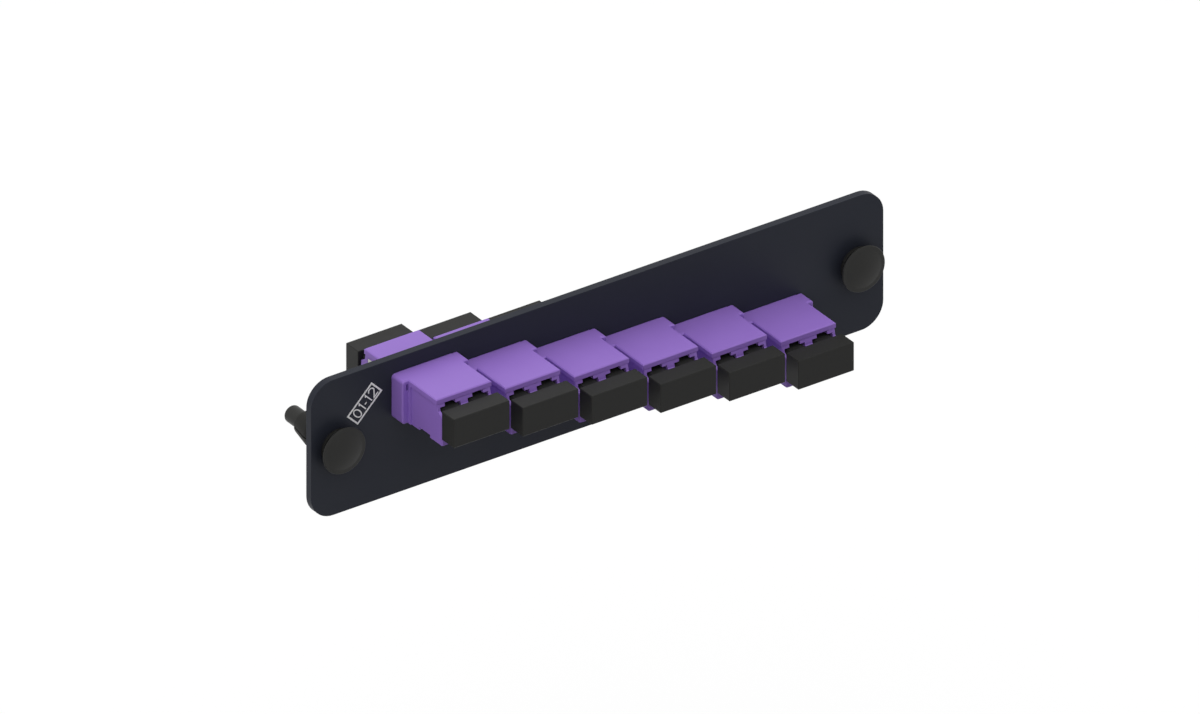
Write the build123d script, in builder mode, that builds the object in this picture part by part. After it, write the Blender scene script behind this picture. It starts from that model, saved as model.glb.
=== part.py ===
from build123d import *

from math import atan2, degrees
import os

# Snap-in fibre adapter panel: a rounded sheet plate that carries a stepped row of six duplex
# adapters, with a dust cap on each end of every adapter and a push-pull latch near each end.
#
# X runs to the right along the plate, Z up and Y towards the back. The origin is the centre of
# the plate's back face, so the front of every piece lies at negative Y. Millimetres throughout.

# Plate
plate_length = 130.0
plate_height = 29.0
plate_thickness = 1.6
plate_corner = 5.0

# Adapter row: each adapter stands one step lower than the one on its left
adapter_count = 6
adapter_pitch = 15.65
adapter_step = 2.67

# Adapter shell, measured from the adapter's middle, which lies ahead of the plate's front face
middle_ahead = 0.9
shell_height = 9.3
shell_reach = 13.25
roof_width = 12.5
roof_thickness = 1.1
roof_setback = 1.5
roof_edge = 0.2
wall_width = 12.0
wall_edge = 0.2
brow_overhang = 0.15
ledge_length = 1.35
ledge_rise = 1.35
ledge_slope = 0.75
flange_width = 15.2
flange_depth = 3.5
flange_corner = 0.7
flange_edge = 0.25
collar_depth = 0.7
notch_width = 0.5
notch_height = 1.4
notch_drop = 1.55
notch_depth = 0.6
relief_start = 5.8
relief_length = 3.5
relief_depth = 0.6

# Keyed sockets, two in each end of an adapter
port_pitch = 6.25
port_width = 4.6
port_height = 4.8
port_rise = 0.35
key_width = 2.4

# Snap tongue that holds the shell behind the plate
tongue_height = 3.0
tongue_drop = 1.1
tongue_length = 5.4
tongue_slit = 0.5
barb_bite = 0.4
barb_length = 2.6
barb_clearance = 0.05
cutout_side_gap = 0.25
cutout_top_gap = 0.1

# White sleeve holder: a web with two barrels and two latch arms
web_width = 11.2
web_height = 7.0
web_thickness = 2.0
fit_gap = 0.05
barrel_radius = 1.5
barrel_reach = 4.3
barrel_lip = 0.6
arm_thickness = 0.45
arm_height = 1.0
arm_rise = 2.25
arm_setback = 2.35

# Split ceramic sleeves for 1.25 mm ferrules
sleeve_bore_radius = 0.6225
sleeve_radius = 0.81
sleeve_length = 6.8
sleeve_slit = 0.2
sleeve_play = 0.06

# Dust caps
cap_width = 12.7
cap_height = 6.15
cap_rise = 0.08
cap_depth = 4.0
cap_edge = 0.12
cap_gap = 0.3
plug_gap = 0.12
plug_headroom = 0.3
plug_length = 4.2
plug_corner = 0.6
plug_wall = 0.8
plug_hollow = 3.0

# Push-pull latches, one near each end of the plate
latch_inset = 6.0
hole_gap = 0.1
shoulder_radius = 3.4
shank_radius = 3.1
shank_length = 3.2
barb_radius = 3.3
barb_start = 4.3
barb_flat = 0.7
leg_end_radius = 2.45
leg_reach = 9.1
leg_slit = 0.8
leg_slit_start = 3.4
grommet_flange_radius = 4.6
grommet_flange = 0.8
grommet_flange_edge = 0.2
pin_radius = 1.775
pin_play = 0.075
pin_reach = 13.2
pin_tip_edge = 0.9
stop_radius = 2.15
stop_play = 0.1
stop_thickness = 0.8
stop_travel = 4.5
stop_seat = 1.0
stop_room = 0.4
head_radius = 4.8
head_thickness = 1.5
head_lift = 0.1
head_edge = 0.3
dish_radius = 4.0
dish_depth = 0.55

# Places that follow from the sizes above
middle = plate_thickness + middle_ahead
half_height = shell_height / 2
under_roof = half_height - roof_thickness
roof_reach = shell_reach - roof_setback
arm_reach = shell_reach - arm_setback
half_wall = wall_width / 2
cutout_width = roof_width + 2 * cutout_side_gap
cutout_height = shell_height + 2 * cutout_top_gap
cap_face = shell_reach + cap_gap
port_top = port_rise + port_height / 2
plug_width = port_width - 2 * plug_gap
plug_height = port_height - plug_gap - plug_headroom
plug_rise = port_rise - port_height / 2 + plug_gap + plug_height / 2
latch_x = plate_length / 2 - latch_inset

os.makedirs("parts", exist_ok=True)


def adapter_centres():
    """X and Z of each adapter's middle, from the left end of the row to the right."""
    mid = (adapter_count - 1) / 2
    places = []
    for index in range(adapter_count):
        places.append((adapter_pitch * (index - mid), -adapter_step * (index - mid)))
    return places


def depth_plane(x, z, ahead):
    """A plane parallel to the plate, ahead of its back face, drawn as seen from the front."""
    return Plane(origin=(x, -ahead, z), x_dir=(1, 0, 0), z_dir=(0, -1, 0))


def end_plane(x, z, way, reach):
    """A plane across an adapter at a reach from its middle; way is -1 forwards, 1 backwards."""
    return Plane(origin=(x, way * reach - middle, z), x_dir=(-way, 0, 0), z_dir=(0, way, 0))


def side_plane(x, z, way, width):
    """A plane along an adapter's side: its first axis runs outwards from the middle."""
    return Plane(origin=(x - way * width / 2, -middle, z), x_dir=(0, way, 0), z_dir=(way, 0, 0))


def save(part, name):
    """Name a finished piece and write its STEP file."""
    part.label = name
    export_step(part, f"parts/{name}.step")


def panel_plate():
    """Flat plate with rounded corners, one window for each adapter and two latch holes."""
    with BuildPart() as plate:
        with BuildSketch(depth_plane(0, 0, 0)):
            RectangleRounded(plate_length, plate_height, plate_corner)
        extrude(amount=plate_thickness)
        with BuildSketch(depth_plane(0, 0, 0)):
            with Locations(*adapter_centres()):
                Rectangle(cutout_width, cutout_height)
            with Locations((-latch_x, 0), (latch_x, 0)):
                Circle(shoulder_radius + hole_gap)
        extrude(amount=plate_thickness, mode=Mode.SUBTRACT)
    return plate.part


def roof_slab(x, z, way, start):
    """The roof of half a shell, wider than the walls below it, with its upper edges broken."""
    with BuildPart() as roof:
        with BuildSketch(end_plane(x, z, way, start)):
            with Locations((0, half_height - roof_thickness / 2)):
                Rectangle(roof_width, roof_thickness)
        extrude(amount=roof_reach - start)
        top = roof.faces().sort_by(Axis.Z)[-1]
        sides = top.edges().filter_by(Axis.Y)
        tip = top.edges().filter_by(Axis.X).sort_by(Axis.Y)[0 if way < 0 else -1]
        chamfer(sides + [tip], roof_edge)
    return roof.part


def flange_block(x, z):
    """The front shell's flange: corners rounded, front edge broken, and a collar ahead of it."""
    with BuildPart() as flange:
        with BuildSketch(depth_plane(x, z, plate_thickness)):
            RectangleRounded(flange_width, shell_height, flange_corner)
        extrude(amount=flange_depth)
        chamfer(flange.faces().sort_by(Axis.Y)[0].edges(), flange_edge)
        with BuildSketch(depth_plane(x, z, plate_thickness)):
            with Locations((0, -roof_thickness / 2)):
                Rectangle(roof_width, shell_height - roof_thickness)
        extrude(amount=flange_depth + collar_depth)
        # A small recess beside each end of the roof
        recess_x = (roof_width + notch_width) / 2
        recess_z = half_height - notch_drop
        with BuildSketch(depth_plane(x, z, plate_thickness + flange_depth)):
            with Locations((-recess_x, recess_z), (recess_x, recess_z)):
                Rectangle(notch_width, notch_height)
        extrude(amount=-notch_depth, mode=Mode.SUBTRACT)
    return flange.part


def half_shell(x, z, way, start, blanks):
    """Half an adapter shell from its parting line to its mouth, with two keyed sockets."""
    ledge_start = shell_reach - ledge_length
    with BuildPart() as shell:
        add(blanks)
        with BuildSketch(side_plane(x, z, way, wall_width)):
            with BuildLine():
                Polyline(
                    (start, -half_height),
                    (shell_reach, -half_height),
                    (shell_reach, ledge_rise),
                    (ledge_start, ledge_rise + ledge_slope),
                    (roof_reach - brow_overhang, under_roof),
                    (roof_reach - brow_overhang, under_roof + roof_thickness / 2),
                    (start, under_roof + roof_thickness / 2),
                    close=True,
                )
            make_face()
        extrude(amount=wall_width)
        mouth = shell.edges().filter_by(Axis.Z)
        mouth = mouth.filter_by(lambda edge: abs(abs(edge.center().Y + middle) - shell_reach) < 0.01)
        chamfer(mouth, wall_edge)
        # Channel across the underside
        with BuildSketch(side_plane(x, z, way, wall_width)):
            with Locations((relief_start + relief_length / 2, -half_height)):
                Rectangle(relief_length, 2 * relief_depth)
        extrude(amount=wall_width, mode=Mode.SUBTRACT)
        # Sockets, each with a keyway above it that reaches the roof
        key_middle = (port_rise + under_roof) / 2
        with BuildSketch(end_plane(x, z, way, start)):
            with Locations((-port_pitch / 2, port_rise), (port_pitch / 2, port_rise)):
                Rectangle(port_width, port_height)
            with Locations((-port_pitch / 2, key_middle), (port_pitch / 2, key_middle)):
                Rectangle(key_width, under_roof - port_rise)
        extrude(amount=shell_reach - start, mode=Mode.SUBTRACT)
        # Pocket for the sleeve holder's web
        with BuildSketch(end_plane(x, z, way, start)):
            with Locations((0, port_rise)):
                Rectangle(web_width + 2 * fit_gap, web_height + 2 * fit_gap)
        extrude(amount=web_thickness / 2 + fit_gap - start, mode=Mode.SUBTRACT)
    return shell.part


def front_shell(x, z):
    """Front half: the flange that stops against the plate, and the sockets ahead of it."""
    start = -middle_ahead
    blank = half_shell(x, z, -1, start, [roof_slab(x, z, -1, start), flange_block(x, z)])
    with BuildPart() as shell:
        add(blank)
        # Notches for the roots of the sleeve holder's arms
        with BuildSketch(end_plane(x, z, -1, start)):
            with Locations((0, arm_rise)):
                Rectangle(wall_width, arm_height + 2 * fit_gap)
        extrude(amount=web_thickness / 2 + fit_gap - start, mode=Mode.SUBTRACT)
    return shell.part


def barb(x, z, side):
    """The tongue's barb: a ramp that rises out of the wall towards the plate's back face."""
    foot = x + side * (half_wall - arm_thickness / 2)
    crest = x + side * (cutout_width / 2 + barb_bite)
    with BuildPart() as ramp:
        with BuildSketch(Plane.XY.offset(z - tongue_drop - tongue_height / 2)):
            with BuildLine():
                Polyline(
                    (foot, barb_clearance),
                    (crest, barb_clearance),
                    (crest, barb_clearance + barb_length / 4),
                    (foot, barb_clearance + barb_length),
                    close=True,
                )
            make_face()
        extrude(amount=tongue_height)
    return ramp.part


def rear_shell(x, z):
    """Rear half: it passes through the plate, and its barbed side tongues snap behind it."""
    start = middle_ahead
    blank = half_shell(x, z, 1, start, [roof_slab(x, z, 1, start)])
    wall = half_wall - port_pitch / 2 - port_width / 2
    slot_end = arm_reach + fit_gap
    with BuildPart() as shell:
        add(blank)
        add([barb(x, z, -1), barb(x, z, 1)])
        # Slots in the side walls for the sleeve holder's arms
        with BuildSketch(end_plane(x, z, 1, start)):
            with Locations((0, arm_rise)):
                Rectangle(wall_width, arm_height + 2 * fit_gap)
                Rectangle(wall_width - 2 * wall, arm_height + 2 * fit_gap, mode=Mode.SUBTRACT)
        extrude(amount=slot_end - start, mode=Mode.SUBTRACT)
        # Slits that free each tongue along its upper and lower edges
        with BuildSketch(end_plane(x, z, 1, start)):
            for edge in (-1, 1):
                with Locations((0, edge * (tongue_height + tongue_slit) / 2 - tongue_drop)):
                    Rectangle(wall_width, tongue_slit)
                    Rectangle(wall_width - 2 * wall, tongue_slit, mode=Mode.SUBTRACT)
        extrude(amount=middle + tongue_length - start, mode=Mode.SUBTRACT)
    return shell.part


def sleeve_holder(x, z):
    """White insert: a web trapped between the shells, two barrels and two rearward arms."""
    arm_x = half_wall - fit_gap - arm_thickness / 2
    ferrule_x = port_pitch / 2
    with BuildPart() as holder:
        with BuildSketch(end_plane(x, z, 1, -web_thickness / 2)):
            with Locations((0, port_rise)):
                Rectangle(web_width, web_height)
            with Locations((0, arm_rise)):
                Rectangle(2 * arm_x + arm_thickness, arm_height)
        extrude(amount=web_thickness)
        with BuildSketch(end_plane(x, z, 1, -web_thickness / 2)):
            with Locations((-arm_x, arm_rise), (arm_x, arm_rise)):
                Rectangle(arm_thickness, arm_height)
        extrude(amount=arm_reach + web_thickness / 2)
        with BuildSketch(end_plane(x, z, 1, -barrel_reach)):
            with Locations((-ferrule_x, port_rise), (ferrule_x, port_rise)):
                Circle(barrel_radius)
        extrude(amount=2 * barrel_reach)
        # Bore for each sleeve, closed in at both ends by a lip that lets the ferrule through
        bore_reach = barrel_reach - barrel_lip
        for reach, radius in ((bore_reach, sleeve_radius), (barrel_reach, sleeve_bore_radius)):
            with BuildSketch(end_plane(x, z, 1, -reach)):
                with Locations((-ferrule_x, port_rise), (ferrule_x, port_rise)):
                    Circle(radius + sleeve_play)
            extrude(amount=2 * reach, mode=Mode.SUBTRACT)
    return holder.part


def split_sleeves(x, z):
    """The two ceramic sleeves that line up the ferrules, each slit along its length."""
    with BuildPart() as sleeves:
        for place in (-port_pitch / 2, port_pitch / 2):
            with BuildSketch(end_plane(x, z, 1, -sleeve_length / 2)):
                with Locations((place, port_rise)):
                    Circle(sleeve_radius)
                    Circle(sleeve_bore_radius, mode=Mode.SUBTRACT)
                with Locations((place, port_rise + sleeve_radius)):
                    Rectangle(sleeve_slit, 2 * (sleeve_radius - sleeve_bore_radius) + sleeve_slit,
                              mode=Mode.SUBTRACT)
            extrude(amount=sleeve_length)
    return sleeves.part


def dust_cap(x, z, way):
    """One-piece duplex dust cap: a gripping block with a hollow plug for each socket."""
    plugs = ((-port_pitch / 2, plug_rise), (port_pitch / 2, plug_rise))
    with BuildPart() as cap:
        with BuildSketch(end_plane(x, z, way, cap_face)):
            with Locations((0, cap_rise)):
                Rectangle(cap_width, cap_height)
        extrude(amount=cap_depth)
        chamfer(cap.edges(), cap_edge)
        with BuildSketch(end_plane(x, z, way, cap_face - plug_length)) as outline:
            with Locations(*plugs):
                Rectangle(plug_width, plug_height)
            chamfer(outline.vertices(), plug_corner)
        extrude(amount=plug_length + cap_edge)
        with BuildSketch(end_plane(x, z, way, cap_face - plug_length)):
            with Locations(*plugs):
                Rectangle(plug_width - 2 * plug_wall, plug_height - 2 * plug_wall)
        extrude(amount=plug_hollow, mode=Mode.SUBTRACT)
    return cap.part


def latch_section(x):
    """A plane through a latch's axis, drawn with radius across and distance ahead upwards."""
    return Plane(origin=(x, 0, 0), x_dir=(1, 0, 0), z_dir=(0, 0, -1))


def latch_grommet(x):
    """Split-leg grommet: a flange, a shoulder in the plate's hole and four barbed legs."""
    front = plate_thickness + grommet_flange
    bore = pin_radius + pin_play
    room = stop_radius + stop_play
    seat = -stop_seat
    bottom = seat - stop_travel - stop_thickness - stop_room
    with BuildPart() as grommet:
        with BuildSketch(latch_section(x)):
            with BuildLine():
                Polyline(
                    (bore, front),
                    (grommet_flange_radius, front),
                    (grommet_flange_radius, plate_thickness),
                    (shoulder_radius, plate_thickness),
                    (shoulder_radius, 0),
                    (shank_radius, 0),
                    (shank_radius, -shank_length),
                    (barb_radius, -barb_start),
                    (barb_radius, -barb_start - barb_flat),
                    (leg_end_radius, -leg_reach),
                    (bore, -leg_reach),
                    (bore, bottom),
                    (room, bottom),
                    (room, seat),
                    (bore, seat),
                    close=True,
                )
            make_face()
        revolve(axis=Axis((x, 0, 0), (0, 1, 0)))
        rim = grommet.edges().filter_by(GeomType.CIRCLE).sort_by(Axis.Y)
        rim = rim.filter_by(lambda edge: abs(edge.radius - grommet_flange_radius) < 0.01)[0]
        chamfer(rim, grommet_flange_edge)
        # Two crossing slits part the shank into four legs
        with BuildSketch(depth_plane(x, 0, -leg_slit_start)):
            Rectangle(leg_slit, 4 * shank_radius)
            Rectangle(4 * shank_radius, leg_slit)
        extrude(amount=-leg_reach, mode=Mode.SUBTRACT)
    return grommet.part


def latch_plunger(x):
    """Plunger: a dished finger disc on a pin that spreads the legs when it is pushed home."""
    back = plate_thickness + grommet_flange + head_lift
    front = back + head_thickness
    ring = -stop_seat - stop_travel
    dish_ball = (dish_radius**2 + dish_depth**2) / (2 * dish_depth)
    middle_angle = degrees(atan2(-dish_ball, 0))
    rim_angle = degrees(atan2(dish_depth - dish_ball, dish_radius))
    with BuildPart() as plunger:
        with BuildSketch(latch_section(x)):
            with BuildLine():
                CenterArc((0, front - dish_depth + dish_ball), dish_ball, middle_angle,
                          rim_angle - middle_angle)
                Polyline(
                    (dish_radius, front),
                    (head_radius, front),
                    (head_radius, back),
                    (pin_radius, back),
                    (pin_radius, ring),
                    (stop_radius, ring),
                    (stop_radius, ring - stop_thickness),
                    (pin_radius, ring - stop_thickness),
                    (pin_radius, -pin_reach),
                    (0, -pin_reach),
                    (0, front - dish_depth),
                )
            make_face()
        revolve(axis=Axis((x, 0, 0), (0, 1, 0)))
        rounds = plunger.edges().filter_by(GeomType.CIRCLE).sort_by(Axis.Y)
        rims = rounds.filter_by(lambda edge: abs(edge.radius - head_radius) < 0.01)
        chamfer(rims, head_edge)
        tip = plunger.edges().filter_by(GeomType.CIRCLE).sort_by(Axis.Y)[-1]
        chamfer(tip, pin_tip_edge)
    return plunger.part


save(panel_plate(), "panel_plate")

for number, (adapter_x, adapter_z) in enumerate(adapter_centres(), start=1):
    save(front_shell(adapter_x, adapter_z), f"adapter_{number}_front_shell")
    save(rear_shell(adapter_x, adapter_z), f"adapter_{number}_rear_shell")
    save(sleeve_holder(adapter_x, adapter_z), f"adapter_{number}_sleeve_holder")
    save(split_sleeves(adapter_x, adapter_z), f"adapter_{number}_sleeves")
    save(dust_cap(adapter_x, adapter_z, -1), f"front_dust_cap_{number}")
    save(dust_cap(adapter_x, adapter_z, 1), f"rear_dust_cap_{number}")

for side, place in (("left", -latch_x), ("right", latch_x)):
    save(latch_grommet(place), f"{side}_latch_grommet")
    save(latch_plunger(place), f"{side}_latch_plunger")
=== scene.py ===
import logging
import math
from collections.abc import Mapping
from dataclasses import dataclass, field
from enum import Enum

import bmesh
import bpy
import numpy as np
from mathutils import Matrix, Vector


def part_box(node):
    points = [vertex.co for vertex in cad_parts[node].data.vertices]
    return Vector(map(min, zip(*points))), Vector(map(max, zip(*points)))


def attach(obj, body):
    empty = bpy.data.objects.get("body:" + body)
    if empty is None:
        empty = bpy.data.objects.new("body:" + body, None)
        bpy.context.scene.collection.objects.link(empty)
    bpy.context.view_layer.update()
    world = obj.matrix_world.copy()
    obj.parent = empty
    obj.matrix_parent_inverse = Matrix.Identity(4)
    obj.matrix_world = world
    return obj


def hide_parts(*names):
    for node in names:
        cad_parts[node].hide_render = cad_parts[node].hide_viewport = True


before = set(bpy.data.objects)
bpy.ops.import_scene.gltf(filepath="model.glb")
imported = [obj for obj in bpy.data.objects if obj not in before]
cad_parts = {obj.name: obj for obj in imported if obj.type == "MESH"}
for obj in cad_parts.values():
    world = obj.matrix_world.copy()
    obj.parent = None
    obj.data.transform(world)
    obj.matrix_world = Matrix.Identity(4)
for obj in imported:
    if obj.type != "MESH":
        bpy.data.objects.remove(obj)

MM = 0.001
# Points of one mesh that lie closer than this are one point, in metres.
SAME_POINT = 1e-7
# Edges of a turned piece that turn by more than this stay sharp.
SHARP_DEG = 35.0
LOG = logging.getLogger("adapter_panel")


# Colours and shader nodes


def linear(hex_colour: str) -> tuple[float, float, float, float]:
    """Turns an sRGB hex colour into the linear colour that a shader takes.

    Each channel c from 0 to 1 becomes c / 12.92 where it is dark, and otherwise
    ((c + 0.055) / 1.055) to the power 2.4.

    Args:
        hex_colour: Six hex digits, with or without a leading hash.

    Returns:
        Red, green, blue and an alpha of one.
    """
    digits = hex_colour.lstrip("#")
    channels = np.array([int(digits[i : i + 2], 16) for i in (0, 2, 4)]) / 255
    low, high = channels / 12.92, ((channels + 0.055) / 1.055) ** 2.4
    red, green, blue = np.where(channels <= 0.04045, low, high)
    return float(red), float(green), float(blue), 1.0


def add_node(
    tree: bpy.types.NodeTree,
    kind: str,
    inputs: Mapping[str | int, object] | None = None,
    **settings: object,
) -> bpy.types.Node:
    """Adds one node with its settings, and fills or links its inputs.

    Args:
        tree: The node tree that gets the node.
        kind: The node's type, such as ShaderNodeMix.
        inputs: What goes into each input, by name or place: an output to link, or a value.
        **settings: Properties of the node itself, such as operation or data_type.

    Returns:
        The new node.
    """
    made = tree.nodes.new(kind)
    for name, value in settings.items():
        setattr(made, name, value)
    for socket, value in (inputs or {}).items():
        if isinstance(value, bpy.types.NodeSocket):
            tree.links.new(value, made.inputs[socket])
        else:
            made.inputs[socket].default_value = value
    return made


def empty_material(name: str) -> tuple[bpy.types.Material, bpy.types.NodeTree]:
    """Makes a node material that holds nothing yet.

    Args:
        name: The material's name.

    Returns:
        The material and its node tree.
    """
    material = bpy.data.materials.new(name)
    material.use_nodes = True
    material.node_tree.nodes.clear()
    return material, material.node_tree


# Finishes


@dataclass(frozen=True)
class Finish:
    """A surface as its process leaves it: body colour, gloss, grain and softened edges.

    Attributes:
        name: Real material and process.
        colour: Body colour, sRGB hex.
        shade: The darker colour that the body drifts to in broad patches, sRGB hex.
        roughness: Microscopic roughness of the surface.
        ior: Refractive index of the resin, paint or ceramic.
        specular: Share of the full reflection that the surface keeps.
        patch_mm: Size of the broad patches of colour.
        grain_mm: Spacing of the grain.
        grain_depth_mm: Height of the grain.
        wave_mm: Spacing of the slow waves in the surface.
        wave_depth_mm: Height of the waves.
        edge_mm: Radius that every sharp edge is rubbed or moulded to.
        gloss_drift: How far the roughness drifts either way between patches.
    """

    name: str
    colour: str
    shade: str
    roughness: float
    ior: float
    specular: float
    patch_mm: float
    grain_mm: float
    grain_depth_mm: float
    wave_mm: float
    wave_depth_mm: float
    edge_mm: float
    gloss_drift: float = 0.04

    def material(self) -> bpy.types.Material:
        """Builds the shader: patches of colour, uneven gloss, grain and waves as relief.

        Noise runs on Object coordinates turned to millimetres, so a pattern's frequency is one
        over its spacing. Relief heights are given in metres.

        Returns:
            The finished material.
        """
        material, tree = empty_material(self.name)
        place = add_node(tree, "ShaderNodeTexCoord").outputs["Object"]
        to_mm = add_node(tree, "ShaderNodeMapping", {"Vector": place, "Scale": (1 / MM,) * 3})
        where = to_mm.outputs["Vector"]
        patches = add_node(tree, "ShaderNodeTexNoise",
                           {"Vector": where, "Scale": 1 / self.patch_mm, "Detail": 3.0,
                            "Roughness": 0.55})
        grain = add_node(tree, "ShaderNodeTexNoise",
                         {"Vector": where, "Scale": 1 / self.grain_mm, "Detail": 2.0,
                          "Roughness": 0.6})
        waves = add_node(tree, "ShaderNodeTexNoise",
                         {"Vector": where, "Scale": 1 / self.wave_mm, "Detail": 1.0})
        body = add_node(tree, "ShaderNodeMix",
                        {"Factor": patches.outputs["Fac"], 6: linear(self.shade),
                         7: linear(self.colour)}, data_type="RGBA")
        gloss = add_node(tree, "ShaderNodeMapRange",
                         {"Value": patches.outputs["Fac"], "From Min": 0.3, "From Max": 0.7,
                          "To Min": self.roughness - self.gloss_drift,
                          "To Max": self.roughness + self.gloss_drift})
        edges = add_node(tree, "ShaderNodeBevel", {"Radius": self.edge_mm * MM}, samples=6)
        slow = add_node(tree, "ShaderNodeBump",
                        {"Height": waves.outputs["Fac"], "Strength": 1.0,
                         "Distance": self.wave_depth_mm * MM, "Normal": edges.outputs["Normal"]})
        fine = add_node(tree, "ShaderNodeBump",
                        {"Height": grain.outputs["Fac"], "Strength": 1.0,
                         "Distance": self.grain_depth_mm * MM, "Normal": slow.outputs["Normal"]})
        shader = add_node(tree, "ShaderNodeBsdfPrincipled",
                          {"Base Color": body.outputs[2], "Roughness": gloss.outputs["Result"],
                           "IOR": self.ior, "Specular IOR Level": self.specular,
                           "Normal": fine.outputs["Normal"]})
        add_node(tree, "ShaderNodeOutputMaterial", {"Surface": shader.outputs["BSDF"]})
        return material


# Polyester powder coat on sheet steel, sprayed and baked: a dark satin skin with a slow orange
# peel. The peel's grit is drawn at 0.35 mm, coarser than the real 0.1 mm, so that it shows.
POWDER_COAT = Finish("polyester_powder_coat_sprayed", "#2b2e38", "#272a33", 0.50, 1.5, 0.15,
                     9.0, 0.35, 0.0012, 2.2, 0.004, 0.12)
# Violet PBT, injection moulded in a finely eroded tool: an even satin body with faint flow
# patches. The tool's grain is drawn at 0.3 mm, coarser than the real 0.05 mm, so that it shows.
VIOLET_PBT = Finish("violet_pbt_moulded", "#9e7ad4", "#9974cf", 0.42, 1.55, 0.20,
                    6.0, 0.30, 0.0012, 4.0, 0.003, 0.10)
# Natural PBT, injection moulded: milky white, a little glossier than the pigmented shells.
NATURAL_PBT = Finish("natural_pbt_moulded", "#f1f0ec", "#eae9e4", 0.36, 1.55, 0.5,
                     3.0, 0.25, 0.0006, 2.0, 0.001, 0.05)
# Zirconia sleeves, sintered and ground: dense white ceramic with a high, clean gloss.
ZIRCONIA = Finish("zirconia_ground", "#efede6", "#e8e6df", 0.16, 2.15, 0.5,
                  1.5, 0.12, 0.0002, 1.0, 0.0004, 0.02)
# Black polypropylene dust caps, injection moulded: soft dark satin, slightly waxy.
BLACK_PP = Finish("black_polypropylene_moulded", "#2e2e2d", "#2a2a29", 0.46, 1.49, 0.14,
                  5.0, 0.30, 0.0012, 3.0, 0.003, 0.06)
# Black nylon latches, injection moulded: denser black with a clearer sheen on the disc.
BLACK_NYLON = Finish("black_nylon_moulded", "#353534", "#31312f", 0.40, 1.53, 0.14,
                     4.0, 0.25, 0.0008, 2.5, 0.002, 0.10)
# Black nylon grommets, injection moulded, with a duller gloss than the plunger. Their deeper black
# is painted shade: a darker copy of the nylon that stands in for the deep shade under the disc on
# the flange and legs.
SHADE_DARKENED_NYLON = Finish("black_nylon_darkened_for_shade_moulded", "#292928", "#252524", 0.48, 1.53, 0.09,
                      4.0, 0.25, 0.0010, 2.5, 0.002, 0.10)
# White screen-printing ink, pulled through a mesh: flat, opaque and a little chalky.
WHITE_INK = Finish("white_ink_screen_printed", "#fefefd", "#fafaf9", 0.60, 1.5, 0.5,
                   1.0, 0.12, 0.0004, 0.8, 0.0006, 0.01)


# Surfaces


def grid_mesh(name: str, points: np.ndarray, wrap_rows: bool, wrap_columns: bool) -> bpy.types.Mesh:
    """Joins a grid of points into a mesh of quads.

    Point (i, j) is a corner of the quad whose other corners are (i + 1, j), (i + 1, j + 1) and
    (i, j + 1), with indices taken round where the grid wraps.

    Args:
        name: The mesh's name.
        points: Array of rows by columns by three, in metres.
        wrap_rows: Whether the last row joins the first.
        wrap_columns: Whether the last column joins the first.

    Returns:
        The mesh.
    """
    rows, columns = points.shape[:2]
    i = np.arange(rows if wrap_rows else rows - 1)[:, None]
    j = np.arange(columns if wrap_columns else columns - 1)[None, :]
    after_i, after_j = (i + 1) % rows, (j + 1) % columns
    corners = [i * columns + j, after_i * columns + j, after_i * columns + after_j,
               i * columns + after_j]
    faces = np.stack(np.broadcast_arrays(*corners), axis=-1).reshape(-1, 4)
    mesh = bpy.data.meshes.new(name)
    mesh.from_pydata(points.reshape(-1, 3).tolist(), [], faces.tolist())
    mesh.update()
    return mesh


def closed_outwards(mesh: bpy.types.Mesh) -> bpy.types.Mesh:
    """Merges doubled points, fills open ends and turns every face outwards.

    Args:
        mesh: The mesh to close.

    Returns:
        The same mesh.
    """
    body = bmesh.new()
    body.from_mesh(mesh)
    bmesh.ops.remove_doubles(body, verts=body.verts, dist=SAME_POINT)
    open_edges = [edge for edge in body.edges if edge.is_boundary]
    if open_edges:
        bmesh.ops.holes_fill(body, edges=open_edges, sides=0)
    bmesh.ops.recalc_face_normals(body, faces=body.faces)
    body.to_mesh(mesh)
    body.free()
    mesh.update()
    return mesh


def joined(name: str, meshes: list[bpy.types.Mesh]) -> bpy.types.Mesh:
    """Gathers several closed meshes into one.

    Args:
        name: The new mesh's name.
        meshes: The meshes, which are removed.

    Returns:
        The new mesh.
    """
    body = bmesh.new()
    for mesh in meshes:
        body.from_mesh(mesh)
        bpy.data.meshes.remove(mesh)
    whole = bpy.data.meshes.new(name)
    body.to_mesh(whole)
    body.free()
    return whole


def place_piece(
    name: str, mesh: bpy.types.Mesh, finish: bpy.types.Material, body: str
) -> bpy.types.Object:
    """Puts a finished mesh into the scene, dressed and riding on a body.

    Args:
        name: The piece's name.
        mesh: Its mesh, with its place in its points.
        finish: The material it wears.
        body: The body that it moves with.

    Returns:
        The new object, which sits at the origin.
    """
    piece = bpy.data.objects.new(name, mesh)
    bpy.context.scene.collection.objects.link(piece)
    mesh.materials.clear()
    mesh.materials.append(finish)
    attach(piece, body)
    return piece


def dress_node(name: str, finish: bpy.types.Material) -> None:
    """Gives one CAD node a finish in place of its own.

    Args:
        name: The node's name.
        finish: The material it wears.
    """
    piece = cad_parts[name]
    piece.data.materials.clear()
    piece.data.materials.append(finish)
    LOG.info("%s wears %s", name, finish.name)


# The panel


@dataclass
class SheetPlate:
    """The sheet-steel plate with its windows, which is a CAD node.

    Attributes:
        thickness_mm: Sheet thickness; the front face lies this far ahead of the origin.
    """

    thickness_mm: float = 1.6

    def dress(self, coat: bpy.types.Material) -> None:
        """Gives the plate its powder coat."""
        dress_node("panel_plate", coat)


class Glyph(Enum):
    """A character of the printed number."""

    ZERO = "0"
    ONE = "1"
    TWO = "2"
    DASH = "-"


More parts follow.
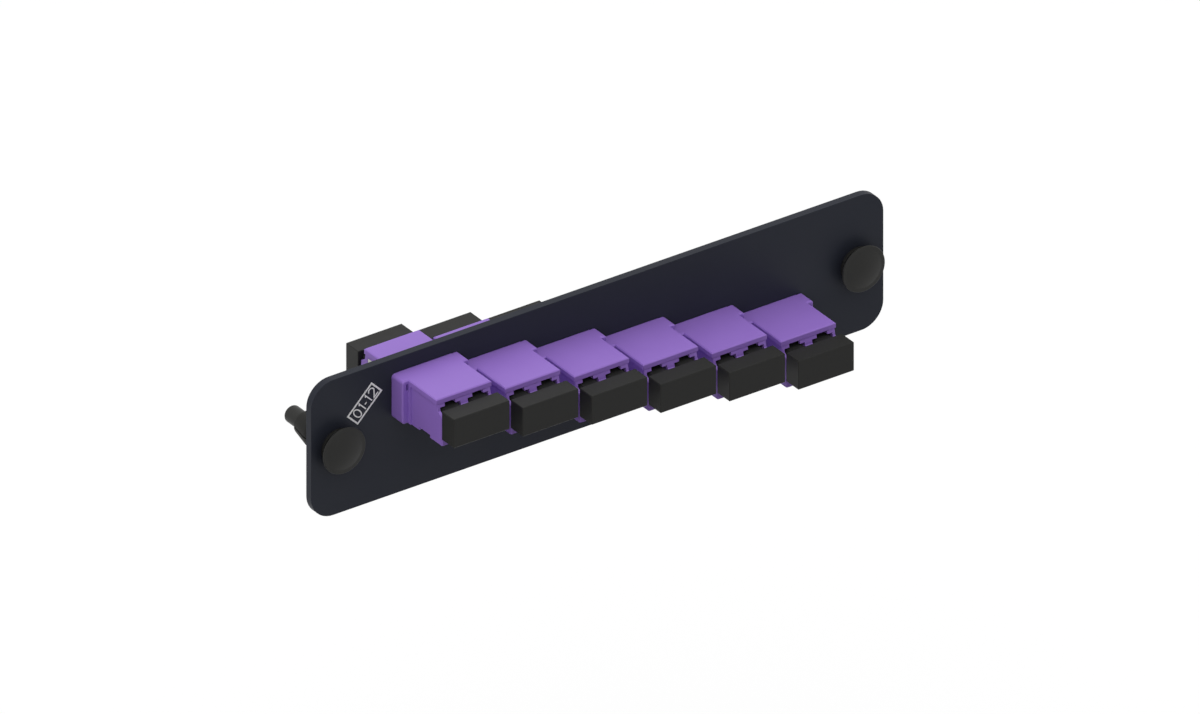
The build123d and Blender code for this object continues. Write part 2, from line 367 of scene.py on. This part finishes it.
def arc(
    centre: tuple[float, float], radii: tuple[float, float], start: float, end: float, count: int
) -> np.ndarray:
    """Points along an elliptic arc: centre plus the radii times the cosine and sine of the angle.

    Args:
        centre: Middle of the ellipse.
        radii: Its half width and half height.
        start: First angle in degrees.
        end: Last angle in degrees.
        count: How many points.

    Returns:
        Array of count by two.
    """
    angle = np.radians(np.linspace(start, end, count))
    return np.stack([centre[0] + radii[0] * np.cos(angle), centre[1] + radii[1] * np.sin(angle)],
                    axis=-1)


def quarter_round(
    centre: tuple[float, float], radius: float, start: float, count: int
) -> np.ndarray:
    """Points along a quarter circle, turning clockwise.

    Args:
        centre: Middle of the circle.
        radius: Its radius.
        start: First angle in degrees.
        count: How many points.

    Returns:
        Array of count by two.
    """
    return arc(centre, (radius, radius), start, start - 90.0, count)


@dataclass
class PrintedNumber:
    """The port number on the plate's upper left corner, in an outline turned by 45 degrees.

    Attributes:
        centre_mm: X and Z of the outline's middle.
        size_mm: Length and height of the outline, to the outside of its line.
        line_mm: Width of the outline's line.
        turn_deg: How far the outline is turned, anticlockwise seen from the front.
        digit_mm: Height of the digits.
        digit_width_mm: Width of a digit, to the outside of its strokes.
        one_width_mm: Width of the digit one, which is narrower.
        stroke_mm: Width of a digit's stroke.
        gap_mm: Space between two characters.
        dash_mm: Length of the dash.
        dash_drop_mm: How far the dash lies below the middle of the digits.
        flag_mm: Height of the one's flag.
        bowl_deg: Where the two's bowl starts and ends.
        widest: The most that a sharp corner of a stroke is widened, as one over this share.
        shift_mm: How far the number stands off the outline's middle, towards its end.
        ink_mm: Thickness of the ink.
    """

    plate: SheetPlate
    centre_mm: tuple[float, float] = (-52.86, 7.10)
    size_mm: tuple[float, float] = (7.95, 3.50)
    line_mm: float = 0.35
    turn_deg: float = 45.0
    digit_mm: float = 2.42
    digit_width_mm: float = 1.5
    one_width_mm: float = 0.55
    stroke_mm: float = 0.25
    gap_mm: float = 0.43
    dash_mm: float = 0.54
    dash_drop_mm: float = 0.2
    flag_mm: float = 0.38
    bowl_deg: tuple[float, float] = (165.0, -35.0)
    widest: float = 0.35
    shift_mm: float = 0.16
    ink_mm: float = 0.03

    def strokes(self) -> list[tuple[np.ndarray, bool, float]]:
        """Lays the characters out along the outline's length.

        Returns:
            For each stroke its centreline in millimetres, whether it closes, and its width.
        """
        pen = self.stroke_mm
        half_w, half_h = (self.digit_width_mm - pen) / 2, (self.digit_mm - pen) / 2
        text = [Glyph.ZERO, Glyph.ONE, Glyph.DASH, Glyph.ONE, Glyph.TWO]
        widths = {Glyph.ZERO: self.digit_width_mm, Glyph.ONE: self.one_width_mm,
                  Glyph.TWO: self.digit_width_mm, Glyph.DASH: self.dash_mm}
        total = sum(widths[g] for g in text) + self.gap_mm * (len(text) - 1)
        made: list[tuple[np.ndarray, bool, float]] = []
        at = self.shift_mm - total / 2
        for glyph in text:
            middle = at + widths[glyph] / 2
            if glyph is Glyph.ZERO:
                loop = arc((middle, 0.0), (half_w, half_h), 0.0, 360.0, 41)[:-1]
                made.append((loop, True, pen))
            elif glyph is Glyph.ONE:
                stem = middle + (self.one_width_mm - pen) / 2
                made.append((np.array([[stem - self.one_width_mm + pen, half_h - self.flag_mm],
                                       [stem, half_h], [stem, -half_h]]), False, pen))
            elif glyph is Glyph.DASH:
                ends = [[middle + side * self.dash_mm / 2, -self.dash_drop_mm] for side in (-1, 1)]
                made.append((np.array(ends), False, pen))
            else:
                bowl = arc((middle, half_h - half_w), (half_w, half_w), *self.bowl_deg, 21)
                foot = np.array([[middle - half_w, -half_h], [middle + half_w, -half_h]])
                made.append((np.vstack([bowl, foot]), False, pen))
            at += widths[glyph] + self.gap_mm
        return made

    def band(self, line: np.ndarray, closed: bool, width: float) -> np.ndarray:
        """Carries a flat rectangular section along a line.

        At each point the section stands square to the line's mean direction there, widened by
        one over the cosine of half the turn so that corners stay sharp.

        Args:
            line: Centreline, count by two, in millimetres.
            closed: Whether the line closes on itself.
            width: Width of the band in millimetres.

        Returns:
            Grid of count by four by three points, in metres, in the row frame.
        """
        ahead = np.roll(line, -1, axis=0) - line
        behind = line - np.roll(line, 1, axis=0)
        if not closed:
            ahead[-1], behind[0] = behind[-1], ahead[0]
        ahead /= np.linalg.norm(ahead, axis=1, keepdims=True)
        behind /= np.linalg.norm(behind, axis=1, keepdims=True)
        mean = ahead + behind
        mean /= np.linalg.norm(mean, axis=1, keepdims=True)
        widen = 1 / np.clip(np.abs(np.sum(mean * ahead, axis=1)), self.widest, 1.0)
        across = np.stack([-mean[:, 1], mean[:, 0]], axis=-1) * (widen * width / 2)[:, None]
        flat = np.stack([line + across, line - across, line - across, line + across], axis=1)
        turn = math.radians(self.turn_deg)
        x = flat[..., 0] * math.cos(turn) - flat[..., 1] * math.sin(turn) + self.centre_mm[0]
        z = flat[..., 0] * math.sin(turn) + flat[..., 1] * math.cos(turn) + self.centre_mm[1]
        front = self.plate.thickness_mm
        depth = np.broadcast_to([front, front, front + self.ink_mm, front + self.ink_mm], x.shape)
        return np.stack([x, -depth, z], axis=-1) * MM

    def build(self, ink: bpy.types.Material) -> None:
        """Makes the outline and each stroke as a thin closed band of ink on the plate.

        Args:
            ink: The ink's material.
        """
        half = np.array(self.size_mm) / 2 - self.line_mm / 2
        frame_line = np.array([[-1, -1], [1, -1], [1, 1], [-1, 1]]) * half
        lines = [(frame_line, True, self.line_mm), *self.strokes()]
        for number, (line, closed, width) in enumerate(lines):
            name = "number_outline" if number == 0 else f"number_stroke_{number}"
            mesh = grid_mesh(name, self.band(line, closed, width), closed, True)
            piece = place_piece(name, closed_outwards(mesh), ink, "panel")
            LOG.info("%s has %d faces", piece.name, len(mesh.polygons))


@dataclass
class AdapterRow:
    """The stepped row of duplex adapters.

    Attributes:
        count: How many adapters.
    """

    count: int = 6

    def dress(
        self,
        shell: bpy.types.Material,
        holder: bpy.types.Material,
        sleeve: bpy.types.Material,
        cap: bpy.types.Material,
    ) -> None:
        """Dresses every adapter's shells, holder, sleeves and dust caps.

        Args:
            shell: The violet plastic.
            holder: The white plastic.
            sleeve: The ceramic.
            cap: The black plastic of the dust caps.
        """
        for number in range(1, self.count + 1):
            dress_node(f"adapter_{number}_front_shell", shell)
            dress_node(f"adapter_{number}_rear_shell", shell)
            dress_node(f"adapter_{number}_sleeve_holder", holder)
            dress_node(f"adapter_{number}_sleeves", sleeve)
            dress_node(f"front_dust_cap_{number}", cap)
            dress_node(f"rear_dust_cap_{number}", cap)


@dataclass
class PushPullLatch:
    """One push-pull latch: a split grommet and its plunger.

    Distances run ahead of the plate's back face, so what lies behind it is negative.

    Attributes:
        side: left or right, as the nodes are named.
        rim_mm: Radius of the finger disc.
        rim_ahead_mm: Where the back and the front of the disc's thin rim lie.
        rim_round_mm: Radius of the round on the rim's edges.
        dome_mm: Radius and height of the shallow dome inside the rim.
        neck_mm: Radius of the neck under the disc.
        neck_ahead_mm: Where the neck ends, just clear of the grommet.
        pin_mm: Radius of the pin.
        pin_end_mm: Where the pin ends.
        tip_mm: Radius of the round at the pin's tip.
        ring_mm: Radius of the stop ring on the pin.
        ring_ahead_mm: Where the ring's back and front faces lie.
        flange_mm: Radius of the grommet's flange.
        flange_ahead_mm: Where the flange's back and front faces lie.
        flange_round_mm: Radius of the round on the flange's front edge.
        shoulder_mm: Radius of the shoulder that fills the plate's hole.
        shank_mm: Radius of the shank behind the plate.
        legs_ahead_mm: Where the legs part from the shank, and where they end.
        barb_mm: Radius of the legs' barb.
        barb_ahead_mm: Where the barb's crest starts and ends.
        leg_end_mm: Outer radius of the legs at their ends.
        bore_mm: Radius of the bore that the pin slides in.
        room_mm: Radius of the room for the stop ring.
        room_ahead_mm: Where that room ends and starts.
        slit_mm: Width of the slits between the legs.
        steps: How many points go round.
        leg_steps: How many points go across a leg.
    """

    side: str
    rim_mm: float = 4.8
    rim_ahead_mm: tuple[float, float] = (3.50, 3.95)
    rim_round_mm: float = 0.20
    dome_mm: tuple[float, float] = (4.0, 0.60)
    neck_mm: float = 2.8
    neck_ahead_mm: float = 2.3
    pin_mm: float = 1.775
    pin_end_mm: float = -13.5
    tip_mm: float = 0.6
    ring_mm: float = 2.15
    ring_ahead_mm: tuple[float, float] = (-6.3, -5.5)
    flange_mm: float = 3.7
    flange_ahead_mm: tuple[float, float] = (1.6, 2.2)
    flange_round_mm: float = 0.25
    shoulder_mm: float = 3.4
    shank_mm: float = 3.1
    legs_ahead_mm: tuple[float, float] = (-3.2, -9.1)
    barb_mm: float = 3.3
    barb_ahead_mm: tuple[float, float] = (-4.3, -5.0)
    leg_end_mm: float = 2.45
    bore_mm: float = 1.85
    room_mm: float = 2.25
    room_ahead_mm: tuple[float, float] = (-6.7, -1.0)
    slit_mm: float = 0.3
    steps: int = 96
    leg_steps: int = 16

    def plunger_outline(self) -> np.ndarray:
        """Half the plunger's section, from the middle of its face round to the pin's tip.

        The dome is part of a ball of radius (r * r + h * h) / 2h for a rim of radius r and a
        height h. Each round is a quarter circle whose centre lies its own radius inside both
        of the faces that it joins. Below the rim the disc narrows to its neck.

        Returns:
            Array of points by two: radius and distance ahead, in millimetres.
        """
        back, front = self.rim_ahead_mm
        reach, rise = self.dome_mm
        ball = (reach**2 + rise**2) / (2 * rise)
        spread = math.degrees(math.asin(reach / ball))
        dome = arc((0.0, front + rise - ball), (ball, ball), 90.0, 90.0 - spread, 25)
        inside = self.rim_mm - self.rim_round_mm
        face = quarter_round((inside, front - self.rim_round_mm), self.rim_round_mm, 90.0, 7)
        edge = quarter_round((inside, back + self.rim_round_mm), self.rim_round_mm, 0.0, 7)
        ring_back, ring_front = self.ring_ahead_mm
        stem = np.array([[self.neck_mm, (back + self.neck_ahead_mm) / 2],
                         [self.neck_mm, self.neck_ahead_mm], [self.pin_mm, self.neck_ahead_mm],
                         [self.pin_mm, ring_front], [self.ring_mm, ring_front],
                         [self.ring_mm, ring_back], [self.pin_mm, ring_back]])
        tip = quarter_round((self.pin_mm - self.tip_mm, self.pin_end_mm + self.tip_mm), self.tip_mm,
                            0.0, 13)
        return np.vstack([dome, face, edge, stem, tip, [[0.0, self.pin_end_mm]]])

    def collar_outline(self) -> np.ndarray:
        """Section of the grommet's whole ring: flange, shoulder, shank, room and bore.

        Returns:
            Closed loop of points by two: radius and distance ahead, in millimetres.
        """
        back, front = self.flange_ahead_mm
        inside = self.flange_mm - self.flange_round_mm
        edge = quarter_round((inside, front - self.flange_round_mm), self.flange_round_mm, 90.0, 9)
        seat, split = self.room_ahead_mm[1], self.legs_ahead_mm[0]
        rest = np.array([[self.flange_mm, back], [self.shoulder_mm, back], [self.shoulder_mm, 0.0],
                         [self.shank_mm, 0.0], [self.shank_mm, split], [self.room_mm, split],
                         [self.room_mm, seat], [self.bore_mm, seat], [self.bore_mm, front]])
        return np.vstack([edge, rest])

    def leg_outline(self) -> np.ndarray:
        """Section of one leg: out to the barb, in to the end, and back along bore and room.

        Returns:
            Closed loop of points by two: radius and distance ahead, in millimetres.
        """
        split, end = self.legs_ahead_mm
        crest_start, crest_end = self.barb_ahead_mm
        bottom = self.room_ahead_mm[0]
        return np.array([[self.shank_mm, split], [self.barb_mm, crest_start],
                         [self.barb_mm, crest_end], [self.leg_end_mm, end], [self.bore_mm, end],
                         [self.bore_mm, bottom], [self.room_mm, bottom], [self.room_mm, split]])

    def turned(self, outline: np.ndarray, angle: np.ndarray, name: str) -> bpy.types.Mesh:
        """Turns a section round the latch's axis and closes what stays open.

        The point at angle a of a section point (r, d) is (x + r cos a, -d, z + r sin a), with
        the axis through the middle of the plunger's node.

        Args:
            outline: Points by two, radius and distance ahead, in millimetres.
            angle: Angles in radians, one row for each point or one row for all of them.
            name: The mesh's name.

        Returns:
            The closed mesh.
        """
        low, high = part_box(f"{self.side}_latch_plunger")
        radius, ahead = outline.T[:, :, None] * MM
        x = (low[0] + high[0]) / 2 + radius * np.cos(angle)
        z = (low[2] + high[2]) / 2 + radius * np.sin(angle)
        points = np.stack([x, np.broadcast_to(-ahead, x.shape), z], axis=-1)
        whole = angle.shape[0] == 1
        looped = not np.isclose(outline[0, 0], 0.0)
        return closed_outwards(grid_mesh(name, points, looped, whole))

    def leg_angles(self, outline: np.ndarray, turn: float) -> np.ndarray:
        """Angles across one leg, which leave a slit of even width on each side.

        At radius r the leg spans a quarter turn less twice the angle whose sine is half the
        slit's width over r.

        Args:
            outline: The leg's section.
            turn: Direction of the leg's middle, in radians.

        Returns:
            Array of the section's points by the points across the leg.
        """
        half = math.pi / 4 - np.arcsin(self.slit_mm / 2 / outline[:, :1])
        return turn + half * np.linspace(-1.0, 1.0, self.leg_steps)[None, :]

    def place(self, node: str, mesh: bpy.types.Mesh, plastic: bpy.types.Material, body: str) -> None:
        """Smooths a turned mesh and lets it stand for its CAD node.

        Args:
            node: The node that it replaces.
            mesh: The mesh.
            plastic: The black plastic.
            body: The body that it moves with.
        """
        mesh.shade_smooth()
        mesh.set_sharp_from_angle(angle=math.radians(SHARP_DEG))
        piece = place_piece(f"{node}_turned", mesh, plastic, body)
        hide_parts(node)
        LOG.info("%s has %d faces", piece.name, len(mesh.polygons))

    def build(self, gloss: bpy.types.Material, shade_darkened_plastic: bpy.types.Material) -> None:
        """Turns the plunger, and the grommet's ring and its four legs.

        Args:
            gloss: The plunger's black plastic.
            shade_darkened_plastic: The grommet's black plastic, a darker copy of the plunger's that
                paints the shade under the disc.
        """
        plunger, grommet = f"{self.side}_latch_plunger", f"{self.side}_latch_grommet"
        round_once = np.linspace(0.0, 2 * math.pi, self.steps, endpoint=False)[None, :]
        self.place(plunger, self.turned(self.plunger_outline(), round_once, plunger), gloss, plunger)
        leg = self.leg_outline()
        parts = [self.turned(self.collar_outline(), round_once, grommet)]
        parts += [self.turned(leg, self.leg_angles(leg, turn), grommet)
                  for turn in np.radians([45.0, 135.0, 225.0, 315.0])]
        self.place(grommet, joined(grommet, parts), shade_darkened_plastic, "panel")


# The studio


@dataclass(frozen=True)
class ProductCamera:
    """The parallel camera of the product view.

    Attributes:
        turn_deg: How far the view is turned round the object; negative looks from its left.
        tilt_deg: How far the view looks down.
        pixels_per_mm: Scale of the picture.
        width_px: Width of the picture that the scale is for.
        right_mm: How far the picture's middle lies right of the origin.
        down_mm: How far the picture's middle lies below the origin.
        distance_mm: How far the camera stands back.
        clip_m: Nearest and furthest distance that it sees, in metres.
    """

    turn_deg: float = -35.0
    tilt_deg: float = 30.0
    pixels_per_mm: float = 5.373
    width_px: int = 1200
    right_mm: float = 1.431
    down_mm: float = 1.010
    distance_mm: float = 900.0
    clip_m: tuple[float, float] = (0.01, 20.0)

    def build(self) -> bpy.types.Object:
        """Makes the camera and hands it to the scene.

        Returns:
            The camera's object.
        """
        turn, tilt = math.radians(self.turn_deg), math.radians(self.tilt_deg)
        back = Vector((math.sin(turn) * math.cos(tilt), -math.cos(turn) * math.cos(tilt),
                       math.sin(tilt)))
        right = Vector((math.cos(turn), math.sin(turn), 0.0))
        up = back.cross(right)
        data = bpy.data.cameras.new("product_camera")
        data.type = "ORTHO"
        data.ortho_scale = self.width_px / self.pixels_per_mm * MM
        data.clip_start, data.clip_end = self.clip_m
        camera = bpy.data.objects.new("product_camera", data)
        bpy.context.scene.collection.objects.link(camera)
        target = (right * self.right_mm - up * self.down_mm) * MM
        camera.location = target + back * (self.distance_mm * MM)
        camera.rotation_euler = Matrix((right, up, back)).transposed().to_euler()
        bpy.context.scene.camera = camera
        return camera


@dataclass(frozen=True)
class SoftLamp:
    """One large rectangular lamp.

    Attributes:
        name: The lamp's name.
        place_mm: Where its middle stands.
        size_mm: Its two sides.
        watts: Its power.
    """

    name: str
    place_mm: tuple[float, float, float]
    size_mm: tuple[float, float]
    watts: float

    def build(self) -> bpy.types.Object:
        """Makes the lamp, turned towards the object.

        Returns:
            The lamp's object.
        """
        data = bpy.data.lights.new(self.name, "AREA")
        data.shape = "RECTANGLE"
        data.size, data.size_y = (side * MM for side in self.size_mm)
        data.energy = self.watts
        lamp = bpy.data.objects.new(self.name, data)
        bpy.context.scene.collection.objects.link(lamp)
        lamp.location = Vector(self.place_mm) * MM
        lamp.rotation_euler = lamp.location.to_track_quat("Z", "Y").to_euler()
        lamp.visible_camera = False
        lamp.visible_glossy = False
        return lamp


@dataclass
class Studio:
    """A pale floor, a white surround that lights mostly from above, and a soft lamp.

    Attributes:
        floor_mm: Height of the floor.
        floor_size_mm: Side of the floor.
        floor_points: How many points of the floor's grid lie along a side.
        floor_bounce: The floor's colour as the object is lit by it, sRGB hex.
        floor_colour: The floor's colour as it is seen, under its glow, sRGB hex.
        floor_glow: Strength of the glow that brings the seen floor to white.
        surround: Strength of the surround's light from the horizon.
        overhead: Strength that it gains towards the zenith.
        leftward: Strength that it gains towards the left.
        lamps: The lamps.
    """

    floor_mm: float = -110.0
    floor_size_mm: float = 9000.0
    floor_points: int = 9
    floor_bounce: str = "#606060"
    floor_colour: str = "#828282"
    floor_glow: float = 0.80
    surround: float = 0.24
    overhead: float = 0.78
    leftward: float = 0.55
    lamps: list[SoftLamp] = field(default_factory=lambda: [
        SoftLamp("overhead_lamp", (-200.0, -150.0, 1000.0), (900.0, 900.0), 1.0),
    ])

    def build_world(self) -> None:
        """Makes the surround: white where it is seen, and softer where it lights.

        As a light, its strength in a direction (x, y, z) is the horizon's, plus the overhead
        gain times z above the horizon, plus the leftward gain times -x on the left.
        """
        world = bpy.data.worlds.new("white_surround")
        world.use_nodes = True
        tree = world.node_tree
        tree.nodes.clear()
        towards = add_node(tree, "ShaderNodeTexCoord").outputs["Generated"]
        parts = add_node(tree, "ShaderNodeSeparateXYZ", {"Vector": towards})
        above = add_node(tree, "ShaderNodeMapRange",
                         {"Value": parts.outputs["Z"], "From Min": 0.0, "From Max": 1.0,
                          "To Min": self.surround, "To Max": self.surround + self.overhead})
        left = add_node(tree, "ShaderNodeMapRange",
                        {"Value": parts.outputs["X"], "From Min": 0.0, "From Max": -1.0,
                         "To Min": 0.0, "To Max": self.leftward})
        light = add_node(tree, "ShaderNodeMath",
                         {0: above.outputs["Result"], 1: left.outputs["Result"]}, operation="ADD")
        strength = add_node(tree, "ShaderNodeMapRange",
                            {"Value": self.seen_factor(tree), "To Min": light.outputs[0],
                             "To Max": 1.0})
        shine = add_node(tree, "ShaderNodeBackground",
                         {"Color": (1.0, 1.0, 1.0, 1.0), "Strength": strength.outputs["Result"]})
        add_node(tree, "ShaderNodeOutputWorld", {"Surface": shine.outputs["Background"]})
        bpy.context.scene.world = world

    def seen_factor(self, tree: bpy.types.NodeTree) -> bpy.types.NodeSocket:
        """One for camera, glossy and transmission rays, and zero for the rays that light.

        Args:
            tree: The tree that gets the nodes.

        Returns:
            The output that carries the factor.
        """
        path = add_node(tree, "ShaderNodeLightPath")
        first = add_node(tree, "ShaderNodeMath",
                         {0: path.outputs["Is Camera Ray"], 1: path.outputs["Is Glossy Ray"]},
                         operation="MAXIMUM")
        both = add_node(tree, "ShaderNodeMath",
                        {0: first.outputs[0], 1: path.outputs["Is Transmission Ray"]},
                        operation="MAXIMUM")
        return both.outputs[0]

    def build_floor(self) -> None:
        """Makes the floor: plain as a light source, white with a faint shadow where seen."""
        material, tree = empty_material("pale_studio_floor")
        plain = add_node(tree, "ShaderNodeBsdfDiffuse", {"Color": linear(self.floor_bounce)})
        shadowed = add_node(tree, "ShaderNodeBsdfDiffuse", {"Color": linear(self.floor_colour)})
        glow = add_node(tree, "ShaderNodeEmission",
                        {"Color": (1.0, 1.0, 1.0, 1.0), "Strength": self.floor_glow})
        bright = add_node(tree, "ShaderNodeAddShader",
                          {0: shadowed.outputs["BSDF"], 1: glow.outputs["Emission"]})
        mixed = add_node(tree, "ShaderNodeMixShader",
                         {"Fac": self.seen_factor(tree), 1: plain.outputs["BSDF"],
                          2: bright.outputs["Shader"]})
        add_node(tree, "ShaderNodeOutputMaterial", {"Surface": mixed.outputs["Shader"]})
        half = self.floor_size_mm / 2 * MM
        side = np.linspace(-half, half, self.floor_points)
        x, y = np.meshgrid(side, side, indexing="ij")
        points = np.stack([x, y, np.full_like(x, self.floor_mm * MM)], axis=-1)
        mesh = grid_mesh("studio_floor", points, False, False)
        mesh.materials.append(material)
        floor = bpy.data.objects.new("studio_floor", mesh)
        bpy.context.scene.collection.objects.link(floor)

    def build(self) -> None:
        """Makes the surround, the floor and the lamps, and sets the plain view transform."""
        self.build_world()
        self.build_floor()
        for lamp in self.lamps:
            lamp.build()
            LOG.info("%s shines with %.1f W", lamp.name, lamp.watts)
        bpy.context.scene.view_settings.view_transform = "Standard"


def main() -> None:
    """Builds the camera, the studio, the finishes and every piece."""
    logging.basicConfig(level=logging.INFO, format="%(name)s: %(message)s")
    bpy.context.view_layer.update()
    ProductCamera().build()
    Studio().build()
    plate = SheetPlate()
    plate.dress(POWDER_COAT.material())
    AdapterRow().dress(VIOLET_PBT.material(), NATURAL_PBT.material(), ZIRCONIA.material(),
                       BLACK_PP.material())
    # The grommets wear a darker copy of the black nylon: painted shade for the deep shade under the
    # latch discs.
    nylon, shaded_nylon = BLACK_NYLON.material(), SHADE_DARKENED_NYLON.material()
    for side in ("left", "right"):
        PushPullLatch(side).build(nylon, shaded_nylon)
    PrintedNumber(plate).build(WHITE_INK.material())


if __name__ == "__main__":
    main()
